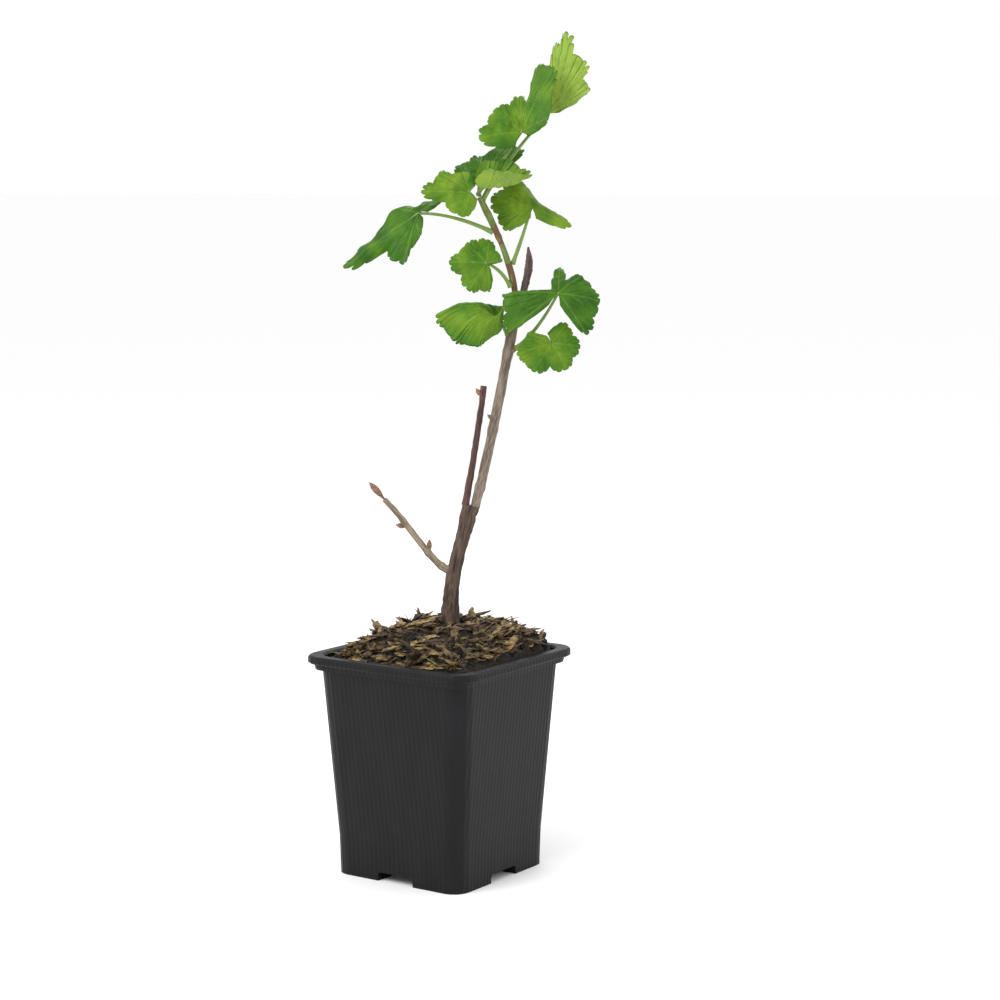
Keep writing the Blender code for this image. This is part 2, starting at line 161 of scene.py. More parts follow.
# Leaf blades
LEAF_ROWS = 34
ROW_CROWDING = 0.8
LEAF_THICKNESS = 0.32
NORMAL_SMOOTHING = 9
SIDE_FADE = 0.25
BASE_FADE = 4
THIN_BASE = 12
THIN_SIDES = 3
THIN_EDGE = 6
CALM_EDGE = 3
PANEL_PUFF = 0.1
VEIN_SINK = 0.07
VEIN_SWELL = 0.5
PUFF_HEIGHT, PUFF_SIZE, PUFF_SEED = 0.2, 4.5, 30
WAVE_HEIGHT, WAVE_SIZE, WAVE_SEED = 0.5, 9.0, 31
TINT_CHANGE, TINT_SIZE, TINT_SEED = 0.12, 14.0, 33
LEAF_SEED = 300
LEAF_SEED_STEP = 50
STALK_SEED = 20


class Limb(NamedTuple):
    """A stem: its curve, its widths and depths from foot to tip, knots, buds and fibre height.

    A knot is a share and a swelling. A bud is a share, the way it points, its length and
    its width.
    """

    curve: tuple
    widths: tuple
    depths: tuple = ()
    knots: tuple = ()
    buds: tuple = ()
    fibre: float = 0.1


class Leaf(NamedTuple):
    """A palmate leaf: its stalk's start and bend, the blade's base, and the lobes' tips.

    The tips run from left to right as seen from above with the base nearest. A notch lies
    between each two of them, this share of the way out to the middle between their tips,
    and the outer lobes' heels have this share of the usual width. The rise lifts the
    blade's middle towards its upper side. The tint runs from yellow-green at 0 to deep
    green at 1; on the crown's rear leaf, which lies in shade, its deep tint is partly
    painted shade.
    """

    start: tuple
    bend: tuple
    base: tuple
    tips: tuple
    notches: tuple = ()
    heels: tuple = (1, 1)
    rise: float = 1.0
    tint: float = 0.4


class Bark(NamedTuple):
    """A stem's finish: its colours on fibres, in crevices and on buds, and a patch's colour and shares."""

    name: str
    fibre: str
    crevice: str
    bud: str
    patch: str = ""
    patches: tuple = ()


class Litter(NamedTuple):
    """One kind of loose piece on the mound, with its sizes, its dark, pale and stain colours, and its seed.

    Sunk is the share of its depth that lies in the mound, below 0 where it lies on other
    pieces, and lean is how steeply it lies, in radians.
    """

    name: str
    finish: str
    count: int
    lengths: tuple
    widths: tuple
    depths: tuple
    tones: tuple
    seed: int
    sunk: float = 0.2
    lean: float = 0.35


class Lamp(NamedTuple):
    """A soft square lamp: the way towards it, its power in watts and its width in metres."""

    name: str
    way: tuple
    power: float
    width: float


LAMPS = (
    Lamp("key", (-0.75, 0.9, 0.8), 7.5, 0.6),
    Lamp("fill", (1.0, 0.35, 0.7), 1.5, 0.9),
    Lamp("back", (0.3, 0.8, -1.0), 3.0, 0.8),
)

LITTER = (
    Litter(
        name="compost_crumbs",
        finish="dark crumbs",
        count=2600,
        lengths=(0.8, 2.6),
        widths=(0.7, 1.8),
        depths=(0.5, 1.4),
        tones=("#1c150e", "#3a2b1c", "#120e09"),
        seed=61,
        sunk=0.1,
        lean=0.6,
    ),
    Litter(
        name="bark_chips",
        finish="damp bark chips",
        count=460,
        lengths=(4, 15),
        widths=(2.0, 6.0),
        depths=(0.8, 2.2),
        tones=("#453322", "#7a6242", "#231a11"),
        seed=62,
    ),
    Litter(
        name="wood_chips",
        finish="pale wood chips",
        count=190,
        lengths=(6, 19),
        widths=(2.0, 5.4),
        depths=(0.7, 1.8),
        tones=("#7d6840", "#a88e5a", "#463822"),
        seed=63,
        sunk=0.0,
    ),
    Litter(
        name="wood_fibres",
        finish="straw fibres",
        count=110,
        lengths=(7, 18),
        widths=(0.5, 1.3),
        depths=(0.4, 0.8),
        tones=("#6b6036", "#8c7d4a", "#473d22"),
        seed=64,
        sunk=-0.2,
        lean=0.3,
    ),
)

BARKS = {
    "trunk": Bark("rough brown bark", "#5a4638", "#241a14", "#4a3a2f"),
    "leader": Bark("grey-tan bark", "#857868", "#54483c", "#6b4a33"),
    "cut_stub": Bark("reddish brown bark", "#5c3a32", "#33201b", "#8a6a4a"),
    "side_twig": Bark("pale twig bark", "#94836f", "#625343", "#6a4426"),
    "bud_spur": Bark("dark bud scales", "#5a4740", "#33261f", "#4a3a34"),
    "new_shoot": Bark(
        "green shoot skin", "#6f8038", "#4f6028", "#5a3420", "#5f4128", ((0, 0.33), (0.52, 0.72))
    ),
}

LIMBS = {
    "trunk": Limb(
        curve=((4.4, 112.3, 0), (4.4, 135, 0), (10, 150, 0), (13.8, 165, 0)),
        widths=(8.6, 6.6, 6.0, 5.7, 5.8, 6.8, 7.8),
        depths=(8.2, 6.4, 5.8, 5.5, 5.3, 5.2, 5.2),
        fibre=0.32,
    ),
    "leader": Limb(
        curve=((15.9, 165.0, 0), (21.5, 187, -3), (27.5, 217, -2.5), (34.6, 257.6, 2)),
        widths=(4.2, 4.3, 4.2, 4.2, 4.9),
        knots=((0.13, 0.7), (0.44, 0.6), (0.62, 0.3), (0.78, 0.5)),
        buds=((0.48, (-1, 1, 0.3), 2.6, 1.8), (0.775, (1, 1, 0.2), 4.0, 2.6)),
        fibre=0.09,
    ),
    "cut_stub": Limb(
        curve=((11.5, 166.1, 0), (14, 180, -2), (17.5, 200, -3.5), (19.6, 217.9, -4)),
        widths=(3.4, 3.0, 2.7, 2.6, 2.7),
        buds=((0.9, (-1, 1.5, 0), 4.0, 2.0),),
        fibre=0.12,
    ),
    "side_twig": Limb(
        curve=((2.9, 136.4, 0.5), (-3, 138, 2.5), (-13, 157, 6), (-24.3, 168.7, 8)),
        widths=(3.6, 3.1, 2.9, 2.6, 2.2),
        knots=((0.15, 0.5), (0.38, 0.5), (0.75, 0.4)),
        buds=(
            (0.36, (0, 1, 0), 5.0, 2.2),
            (0.68, (-1, 0.2, 0), 4.4, 2.2),
            (0.98, (-1, 1.2, 0.3), 10.5, 2.8),
        ),
        fibre=0.08,
    ),
    "bud_spur": Limb(
        curve=((36.6, 258.1, 1), (38.8, 267, -0.5), (40.4, 272, -2), (39, 279.3, -2)),
        widths=(2.8, 3.1, 3.3, 3.4, 2.6, 0.7),
        knots=((0.25, 0.3), (0.5, 0.35), (0.7, 0.3)),
        fibre=0.12,
    ),
    "new_shoot": Limb(
        curve=((33.5, 258.5, 2), (32, 272, 3.5), (25, 287, 5), (17.8, 301, 6)),
        widths=(2.3, 2.9, 2.8, 2.3, 2.7, 3.2, 2.4),
        knots=((0.6, 0.4),),
        fibre=0.06,
    ),
}

FOLIAGE = {
    "foliage_top": (
        Leaf(
            start=(19.6, 300.6, 4.5),
            bend=(30, 318, -1),
            base=(48, 337.5, -8),
            tips=((66, 348, -4), (64.5, 360, -6), (55.5, 373, -8), (51.5, 368.5, -12), (45, 352.5, -16)),
            heels=(0.3, 1),
            tint=0.15,
        ),
        Leaf(
            start=(19.6, 300.6, 4.5),
            bend=(24, 312, 3),
            base=(36, 329, 2),
            tips=(
                (17.5, 326.5, 6),
                (24.5, 339, -2),
                (36, 345.5, -6),
                (44, 359, -6),
                (50, 357.5, -1),
                (48, 335, 8),
            ),
            notches=(0.95, 0.85, 0.5, 0.97, 1.05),
            heels=(1, 0.7),
            tint=0.45,
        ),
    ),
    "foliage_crown": (
        Leaf(
            start=(17.5, 302.8, 4.5),
            bend=(17.5, 304.5, 3),
            base=(17.5, 306, 1),
            tips=((7.5, 314.5, -4), (18.5, 319, -12), (30, 325, -16), (37.5, 321.5, -10)),
            notches=(0.95, 0.95, 0.95),
            heels=(1, 0.3),
            # Deep tint: partly this leaf's own deep green and partly painted shade, as it lies in shade
            # behind the front crown leaf.
            tint=0.75,
        ),
        Leaf(
            start=(17.5, 302.8, 4.5),
            bend=(18, 304, 6.5),
            base=(19.5, 305, 9),
            tips=((21.5, 317, 5), (32, 317, 7), (41, 310, 12), (34.5, 311.5, 18), (23.5, 313, 20)),
            notches=(0.95, 0.95, 0.95, 0.95),
            rise=-1.5,
            tint=0.35,
        ),
    ),
    "foliage_crown_left": (
        Leaf(
            start=(15.4, 300.5, 7.5),
            bend=(14.6, 302, 9),
            base=(13.5, 303, 11),
            tips=((10.5, 292.5, 14), (-7.5, 303.5, 14), (0.5, 312, 9), (10.5, 312, 9)),
            notches=(0.85, 0.92, 0.92),
            tint=0.3,
        ),
    ),
    "foliage_far_left": (
        Leaf(
            start=(22.6, 286.3, 5),
            bend=(5.5, 294.5, 9),
            base=(-9, 294, 10),
            tips=((-8.5, 283.5, 16), (-15, 272, 18), (-41, 270.5, 14), (-19, 296, 2), (1, 299.5, 2)),
            notches=(0.9, 0.7, 0.88, 0.8),
            heels=(0.6, 0.6),
            tint=0.7,
        ),
    ),
    "foliage_right": (
        Leaf(
            start=(32.6, 273, 2),
            bend=(36.5, 283, -3),
            base=(40.5, 296.5, -6),
            tips=((28.5, 286.5, -2), (22.5, 300, -8), (31.5, 310.5, -16), (58, 288, -4)),
            notches=(0.95, 0.9, 0.75),
            heels=(0.6, 0.7),
            tint=0.2,
        ),
    ),
    "foliage_fork_left": (
        Leaf(
            start=(30.8, 263, 3.6),
            bend=(27, 270.5, 5.5),
            base=(20.5, 272.5, 8),
            tips=(
                (22.5, 260, 10),
                (13, 260.5, 12),
                (4.5, 273, 10),
                (12, 281, 6),
                (22, 283, 4),
                (28, 273.5, 7),
            ),
            notches=(0.92, 0.88, 0.95, 0.95, 0.92),
            heels=(0.4, 0.4),
            tint=0.4,
        ),
    ),
    "foliage_low_left": (
        Leaf(
            start=(29.4, 242, 2.5),
            bend=(28.5, 244, 3),
            base=(27, 246.5, 4),
            tips=(
                (24.5, 241, 8),
                (17, 236, 10),
                (6, 239, 10),
                (-1.5, 249.5, 5),
                (8, 248.5, -14),
                (21.5, 246.5, -10),
            ),
            notches=(1, 1, 1, 0.9, 0.9),
            heels=(0.6, 0.4),
            rise=8,
            tint=0.4,
        ),
    ),
    "foliage_low_right": (
        Leaf(
            start=(34.4, 235.5, 1.5),
            bend=(43, 242, 6),
            base=(52, 259.5, 10),
            tips=(
                (29.5, 242, 14),
                (27.5, 259.5, 10),
                (53, 270, -4),
                (63, 267, 3),
                (70.5, 256, 8),
                (64.5, 241.5, 14),
            ),
            notches=(0.95, 0.25, 0.55, 0.97, 0.97),
            heels=(0.15, 0.3),
            tint=0.75,
        ),
        Leaf(
            start=(34.4, 235.5, 1.5),
            bend=(43, 239, 3),
            base=(49, 237.5, 6),
            tips=(
                (56, 246, 4),
                (62, 236, 6),
                (56, 226, 8),
                (41, 225.5, 12),
                (34, 233, 12),
                (38.5, 242, 10),
            ),
            notches=(0.92, 0.95, 0.85, 0.98, 0.98),
            heels=(1, 0.5),
            tint=0.45,
        ),
    ),
}


def spot(point):
    """Place in the frame, in mm, of a point measured across the view."""
    point = np.asarray(point, float)
    return point[..., :1] * RIGHT + point[..., 1:2] * UP + point[..., 2:] * NEAR + POT_CENTRE


def direction(way):
    """Unit vector in the frame of a way given across the view."""
    vector = spot(way) - POT_CENTRE
    return vector / np.linalg.norm(vector)


def bezier(points, count):
    """Bernstein sum over the control points, at count even steps."""
    order = len(points) - 1
    along = np.linspace(0, 1, count)[:, None]
    weights = [math.comb(order, k) * along**k * (1 - along) ** (order - k) for k in range(order + 1)]
    return sum(weight * point for weight, point in zip(weights, points))


def begun_earlier(curve):
    """The curve with its first point moved back, so that the stem starts inside what carries it."""
    way = curve[1] - curve[0]
    return [curve[0] - JOIN_DEPTH * way / np.linalg.norm(way), *curve[1:]]


def ripple(points, size, seed):
    """Smooth noise of about unit height: sines along random directions, each about size mm long, added up."""
    rough = np.random.default_rng(seed)
    ways = rough.normal(size=(NOISE_WAVES, points.shape[-1]))
    rates = 2 * math.pi / size * rough.uniform(*NOISE_SPREAD, NOISE_WAVES)
    ways *= (rates / np.linalg.norm(ways, axis=1))[:, None]
    phase = rough.uniform(0, 2 * math.pi, NOISE_WAVES)
    return np.sin(points @ ways.T + phase).sum(axis=-1) * math.sqrt(2 / NOISE_WAVES)


def unit(vectors):
    """Each vector of an array with its length made one."""
    return vectors / (np.linalg.norm(vectors, axis=-1, keepdims=True) + NO_LENGTH)


def ring_angles(count):
    """Angles of count even steps once round."""
    return np.linspace(0, 2 * math.pi, count, endpoint=False)


def ring(turn):
    """Points of the unit circle at these angles."""
    return np.stack([np.cos(turn), np.sin(turn)], axis=-1)


def grid_faces(rows, columns, wrap):
    """Quads of a grid of points, row by row, closed round when wrap is set."""
    index = np.arange(rows * columns).reshape(rows, columns)
    after = np.roll(index, -1, axis=1) if wrap else index[:, 1:]
    index = index if wrap else index[:, :-1]
    return np.stack([index[:-1], after[:-1], after[1:], index[1:]], axis=-1).reshape(-1, 4)


def weld(points, faces, attributes):
    """Points at one place made one, and the faces that this flattens dropped or made triangles."""
    places = np.round(points * WELD_STEPS_PER_MM).astype(np.int64)
    _, first, index = np.unique(places, axis=0, return_index=True, return_inverse=True)
    faces = index.reshape(-1)[faces]
    same = faces == np.roll(faces, -1, axis=1)
    quads = faces[~same.any(axis=1)]
    pinched = faces[same.sum(axis=1) == 1]
    kept = ~(pinched == np.roll(pinched, -1, axis=1))
    triangles = pinched[kept].reshape(-1, 3)
    triangles = triangles[triangles[:, 0] != triangles[:, 2]]
    return points[first], quads, triangles, {name: values[first] for name, values in attributes.items()}


def make_piece(name, points, faces, attributes, smooth=True):
    """Object from points in mm, quads and values for each point."""
    points, quads, triangles, attributes = weld(points, faces, attributes)
    mesh = bpy.data.meshes.new(name)
    corners = np.concatenate([quads.reshape(-1), triangles.reshape(-1)])
    sizes = np.concatenate([np.full(len(quads), 4), np.full(len(triangles), 3)])
    mesh.vertices.add(len(points))
    mesh.vertices.foreach_set("co", (points * MM).astype(np.float32).reshape(-1))
    mesh.loops.add(len(corners))
    mesh.loops.foreach_set("vertex_index", corners.astype(np.int32))
    mesh.polygons.add(len(sizes))
    mesh.polygons.foreach_set("loop_start", (np.cumsum(sizes) - sizes).astype(np.int32))
    mesh.polygons.foreach_set("use_smooth", np.full(len(sizes), smooth))
    for key, values in attributes.items():
        layer = mesh.attributes.new(key, "FLOAT", "POINT")
        layer.data.foreach_set("value", values.astype(np.float32))
    mesh.update(calc_edges=True)
    mesh.validate()
    piece = bpy.data.objects.new(name, mesh)
    bpy.context.scene.collection.objects.link(piece)
    return piece


def joined(parts):
    """Points, faces and attributes of several parts as one."""
    points, faces, attributes = zip(*parts)
    starts = np.cumsum([0, *map(len, points[:-1])])
    faces = [part + start for part, start in zip(faces, starts)]
    values = {key: np.concatenate([part[key] for part in attributes]) for key in attributes[0]}
    return np.concatenate(points), np.concatenate(faces), values


def cross_axes(path):
    """Unit vectors across a path and beside it, each row's turned on from the last."""
    ahead = np.gradient(path, axis=0)
    ahead /= np.linalg.norm(ahead, axis=1)[:, None]
    across = np.empty_like(ahead)
    side = np.cross(ahead[0], NEAR if abs(ahead[0] @ NEAR) < NEARLY_ALONG else UP)
    for row, forward in enumerate(ahead):
        side = side - (side @ forward) * forward
        side /= np.linalg.norm(side)
        across[row] = side
    return across, np.cross(ahead, across)


def stem(path, widths, depths, relief, columns, seed):
    """Closed tube: oval rings square to the path, drawn to a point at both ends.

    The radius is that of an oval plus fibres, which are noise on the oval's own round
    coordinates with the length shrunk sevenfold, so they run along the stem.
    """
    across, beside = cross_axes(path)
    steps = np.linalg.norm(np.diff(path, axis=0), axis=1)
    along = np.concatenate([[0], np.cumsum(steps)])
    half = np.stack([widths, depths], axis=1)[:, None, :] / 2
    oval = ring(ring_angles(columns))[None] * half
    shrunk = np.broadcast_to(along[:, None, None] / FIBRE_STRETCH, (len(path), columns, 1))
    skin = np.concatenate([oval, shrunk], axis=2)
    fibres = sum(ripple(skin, size, seed + k) * FIBRE_WEIGHT for k, size in enumerate(FIBRE_SIZES))
    oval *= (1 + relief * fibres / np.linalg.norm(oval, axis=2))[:, :, None]
    rings = path[:, None] + oval[..., :1] * across[:, None] + oval[..., 1:] * beside[:, None]
    foot, tip = (np.broadcast_to(path[end], (1, columns, 3)) for end in (0, -1))
    rings = np.concatenate([foot, rings, tip])
    crevice = np.concatenate([fibres[:1], fibres, fibres[-1:]]).reshape(-1)
    share = np.concatenate([along[:1], along, along[-1:]]) / along[-1]
    values = {"crevice": crevice, "share": np.repeat(share, columns)}
    return rings.reshape(-1, 3), grid_faces(len(rings), columns, True), values


def bud_part(root, way, reach, width, seed):
    """A plump drop along a straight path, its girth a half sine in steps that are its wrapped scales.

    Its share attribute is raised past that of any stem, which marks it for the bark.
    """
    growth = np.linspace(0, 1, BUD_RINGS)
    girth = width * np.sin(math.pi * np.clip(growth**BUD_FULLNESS, *BUD_ENDS))
    girth *= 1 + BUD_SCALE_STEP * ((growth * BUD_SCALES) % 1)
    path = root + growth[:, None] * reach * direction(way)
    points, faces, values = stem(path, girth, girth, BUD_RELIEF, BUD_SIDES, seed)
    values["share"] = values["share"] + BUD_MARK
    return points, faces, values


def limb_parts(name, limb, seed):
    """The stem on a fine path with its knots, each a bell-shaped swelling, and its buds."""
    curve = [spot(point) for point in limb.curve]
    path = bezier(curve if name == "trunk" else begun_earlier(curve), STEM_RINGS)
    share = np.linspace(0, 1, STEM_RINGS)
    swell = np.zeros(STEM_RINGS)
    for place, extra in limb.knots:
        swell += extra * np.exp(-(((share - place) / KNOT_SHARE) ** 2))
    widths, depths = (
        np.interp(share, np.linspace(0, 1, len(sizes)), sizes) + swell
        for sizes in (limb.widths, limb.depths or limb.widths)
    )
    parts = [stem(path, widths, depths, limb.fibre, STEM_SIDES, seed)]
    for number, (place, way, length, width) in enumerate(limb.buds):
        root = np.array([np.interp(place, share, path[:, axis]) for axis in range(3)])
        reach = length + np.interp(place, share, widths) / 2
        parts.append(bud_part(root, way, reach, width, seed + number + BUD_SEED))
    return parts


def lobe_margin(base, tip, left, right, seed):
    """Edge of a lobe: two quarter ovals from its tip to the notches, with rounded teeth cut in.

    Each quarter is about the point of the rib level with its notch. The cut is one minus
    the root of a rectified sine, so the teeth are round and the gaps are sharp.
    """
    rough = np.random.default_rng(seed)
    turn = np.linspace(-1, 1, TEETH_PER_LOBE * TOOTH_POINTS + 1)[:, None]
    notch = np.where(turn < 0, left, right)
    rib = tip - base
    level = np.clip((notch - base) @ rib / (rib @ rib), *NOTCH_LEVELS)
    centre = base + level[:, None] * rib
    lengthways = np.clip(np.cos(turn * math.pi / 2), 0, 1) ** LOBE_FULLNESS
    sideways = np.abs(np.sin(turn * math.pi / 2)) ** LOBE_FULLNESS
    out = lengthways * (tip - centre) + sideways * (notch - centre)
    teeth = np.sqrt(np.abs(np.sin((turn + 1) / 2 * TEETH_PER_LOBE * math.pi)))
    changes = rough.uniform(*TOOTH_VARIETY, TOOTH_CHANGES)
    depth = np.interp(turn[:, 0], np.linspace(-1, 1, TOOTH_CHANGES), changes)[:, None]
    cut_in = (1 - teeth) * depth * lengthways * TOOTH_DEPTH * np.linalg.norm(rib)
    cut_share = cut_in / np.linalg.norm(out, axis=1)[:, None]
    return centre + out * (1 - np.minimum(cut_share, DEEPEST_CUT))


def heel(arm, notch, share):
    """Where an outer lobe's edge starts, beside its rib and across it from the notch."""
    rib = arm / np.linalg.norm(arm)
    beside = (notch @ rib) * rib - notch
    beside /= np.linalg.norm(beside)
    return np.linalg.norm(arm) * (HEEL_REACH * rib + share * HEEL_WIDTH_SHARE * beside)


def lobe_arms(leaf):
    """The leaf's ribs, as vectors from the blade's base to the lobes' tips."""
    return [spot(tip) - spot(leaf.base) for tip in leaf.tips]


def blade_margin(leaf, seed):
    """Edge of the whole blade: its lobes in turn, with a notch between each two of them."""
    base, arms = spot(leaf.base), lobe_arms(leaf)
    reaches = leaf.notches or [NOTCH_REACH] * (len(arms) - 1)
    notches = [reach * (one + other) / 2 for reach, one, other in zip(reaches, arms, arms[1:])]
    first, last = (heel(arms[end], notches[end], share) for end, share in zip((0, -1), leaf.heels))
    ends = [base + end for end in (first, *notches, last)]
    lobes = [
        lobe_margin(base, base + arm, left, right, seed + k)
        for k, (arm, left, right) in enumerate(zip(arms, ends, ends[1:]))
    ]
    return np.concatenate([lobes[0], *(lobe[1:] for lobe in lobes[1:])])


def vein_lines(leaf, margin):
    """Start, end and girth of each vein: the ribs out to the tips, and side veins from them to the teeth."""
    base = spot(leaf.base)
    veins = []
    for lobe, arm in enumerate(lobe_arms(leaf)):
        veins.append((base, base + RIB_END * arm, 1.0))
        for tooth, share in enumerate(SIDE_VEIN_SHARES):
            start = base + share * arm
            middle = (lobe * TEETH_PER_LOBE + tooth) * TOOTH_POINTS + TOOTH_POINTS // 2
            end = margin[middle] * SIDE_VEIN_END + start * (1 - SIDE_VEIN_END)
            veins.append((start, end, SIDE_VEIN_GIRTH))
    return veins


def vein_closeness(points, veins):
    """For each point, the highest over the veins of exp(-(distance / width)^2), thinner towards the ends.

    The second value is the same for a wider band, the slope on both sides of each vein.
    """
    on_vein, near_vein = np.zeros(points.shape[:-1]), np.zeros(points.shape[:-1])
    for start, end, girth in veins:
        line = end - start
        share = np.clip((points - start) @ line / (line @ line), 0, 1)
        gap = np.linalg.norm(points - start - share[..., None] * line, axis=-1)
        width = VEIN_WIDTH * girth * (VEIN_TAPER[0] - VEIN_TAPER[1] * share)
        strength = VEIN_FADE[0] + VEIN_FADE[1] * girth
        on_vein = np.maximum(on_vein, np.exp(-((gap / width) ** 2)) * strength)
        near_vein = np.maximum(near_vein, np.exp(-((gap / (width + VEIN_SLOPE)) ** 2)))
    return on_vein, near_vein


def smooth_normals(surface):
    """Unit normals of a grid of points, each axis averaged along the rows."""
    normal = unit(np.cross(np.gradient(surface, axis=1), np.gradient(surface, axis=0)))
    window, margin = np.ones(NORMAL_SMOOTHING) / NORMAL_SMOOTHING, NORMAL_SMOOTHING // 2
    padded = np.pad(normal, ((0, 0), (margin, margin), (0, 0)), "edge")
    return unit(np.apply_along_axis(np.convolve, 1, padded, window, "valid"))


def blade(leaf, seed):
    """Two skins that meet along the edge: straight lines from the base to the edge, lifted and quilted.

    A point at share s of the way to edge point m is base + s (m - base), lifted by
    4 s (1 - s) rise, sunk along the veins and puffed up between them. The skins lie half
    the thickness above and below it, and come together at the base and along the edge.
    """
    base, arms = spot(leaf.base), lobe_arms(leaf)
    margin = blade_margin(leaf, seed)
    columns = len(margin)
    upwards = sum(np.cross(other, one) for one, other in zip(arms, arms[1:]))
    upwards /= np.linalg.norm(upwards)
    share = np.linspace(0, 1, LEAF_ROWS)[:, None] ** ROW_CROWDING
    flat = base + share[..., None] * (margin[None] - base)
    lifted = flat + 4 * (share * (1 - share))[..., None] * leaf.rise * upwards
    normal = smooth_normals(lifted)
    vein, slope = vein_closeness(flat, vein_lines(leaf, margin))

    from_sides = np.sin(math.pi * np.linspace(0, 1, columns)) ** SIDE_FADE
    room = np.minimum(share * BASE_FADE, 1) * from_sides
    edge = share**CALM_EDGE
    puffs = PUFF_HEIGHT * ripple(lifted, PUFF_SIZE, seed + PUFF_SEED) * (1 - edge)
    waves = WAVE_HEIGHT * ripple(lifted, WAVE_SIZE, seed + WAVE_SEED) * edge
    height = room * (PANEL_PUFF * (1 - slope) - VEIN_SINK * vein + puffs + waves)
    middle = lifted + height[..., None] * normal

    half = LEAF_THICKNESS / 2 * (1 - share**THIN_EDGE) * np.minimum(share * THIN_BASE, 1)
    half = half * np.minimum(from_sides * THIN_SIDES, 1)
    half[:, [0, -1]] = 0
    half[[0, -1]] = 0
    top = middle + half[..., None] * normal
    bottom = middle - (half * (1 + VEIN_SWELL * vein))[..., None] * normal
    faces = grid_faces(LEAF_ROWS, columns, False)
    tint = leaf.tint + TINT_CHANGE * ripple(lifted, TINT_SIZE, seed + TINT_SEED)
    values = {
        "vein": np.tile(vein.reshape(-1), 2),
        "upper": np.repeat([1.0, 0.0], vein.size),
        "tint": np.tile(tint.reshape(-1), 2),
    }
    points = np.concatenate([top.reshape(-1, 3), bottom.reshape(-1, 3)])
    return points, np.concatenate([faces, faces[:, ::-1] + vein.size]), values


def stalk(leaf, seed):
    """Leaf stalk: a tube along the bend from the stem to the blade's base and a little on into its rib."""
    base, arms = spot(leaf.base), lobe_arms(leaf)
    path = bezier(begun_earlier([spot(leaf.start), spot(leaf.bend), base]), STALK_RINGS)
    into_rib = base + np.linspace(*RIB_SHARES, RIB_RINGS)[:, None] * arms[len(arms) // 2]
    path = np.concatenate([path, into_rib])
    widths = np.concatenate(
        [np.linspace(STALK_WIDTH, STALK_END_WIDTH, STALK_RINGS), np.linspace(*RIB_WIDTHS, RIB_RINGS)]
    )
    widths[:STALK_FOOT_RINGS] += np.linspace(STALK_FOOT_SWELL, 0, STALK_FOOT_RINGS)
    return stem(path, widths, widths, STALK_RELIEF, STALK_SIDES, seed)


def soil_brim(turn):
    """Distance from the pot's middle to its wall at each angle: a superellipse, |x|^n + |y|^n = 1.

    The power n is 2 for a circle, and larger as the corners get sharper.
    """
    power = 2 + SHARPEST_CORNER * (1 - SOIL_CORNER / SOIL_HALF_WIDTH)
    return SOIL_HALF_WIDTH * np.sum(np.abs(ring(turn)) ** power, axis=-1) ** (-1 / power)


def polar_angle(flat):
    """Angle of each point round the origin."""
    return np.arctan2(flat[..., 1], flat[..., 0])


def trunk_foot():
    """Where the trunk comes out of the mix, seen from above."""
    return spot(LIMBS["trunk"].curve[0])[:2]


def soil_height(flat):
    """Height of the mound: its top less a drop that grows with the share of the way out, to a power.

    Lumps of three sizes are added, calmer at the trunk and at the wall.
    """
    brim = soil_brim(polar_angle(flat - POT_CENTRE[:2]))
    share = np.clip(np.linalg.norm(flat - trunk_foot(), axis=-1) / brim, 0, 1)
    lumps = sum(height * ripple(flat, size, seed) for height, size, seed in SOIL_LUMPS)
    drop = (SOIL_TOP_HEIGHT - SOIL_EDGE_HEIGHT) * share**SOIL_STEEPNESS
    liveliness = CALM_LUMPS + (1 - CALM_LUMPS) * 4 * share * (1 - share)
    return SOIL_TOP_HEIGHT - SOIL_SINK - drop + lumps * liveliness


def soil_mound():
    """Skin over the mound: rings from the middle out to the pot's wall, then down and back underneath."""
    turn = ring_angles(SOIL_COLUMNS)
    shares = np.concatenate([[0], np.linspace(SOIL_FIRST_RING, 1, SOIL_RINGS)])
    flat = shares[:, None, None] * (soil_brim(turn)[:, None] * ring(turn))[None] + POT_CENTRE[:2]
    height = soil_height(flat)
    height[0] = height[0].mean()
    top = np.concatenate([flat, height[..., None]], axis=2)
    wall_foot = top[-1:].copy()
    wall_foot[..., 2] = SOIL_EDGE_HEIGHT - SOIL_DEPTH
    underneath = np.broadcast_to(
        [*POT_CENTRE[:2], SOIL_EDGE_HEIGHT - SOIL_DEPTH], (1, SOIL_COLUMNS, 3)
    )
    rings = np.concatenate([top, wall_foot, underneath])
    return rings.reshape(-1, 3), grid_faces(len(rings), SOIL_COLUMNS, True)[:, ::-1], {}


def turned(one, other, angles):
    """Two coordinates of each shard turned from the first towards the second."""
    cosine, sine = np.cos(angles)[:, None, None], np.sin(angles)[:, None, None]
    return one * cosine - other * sine, one * sine + other * cosine


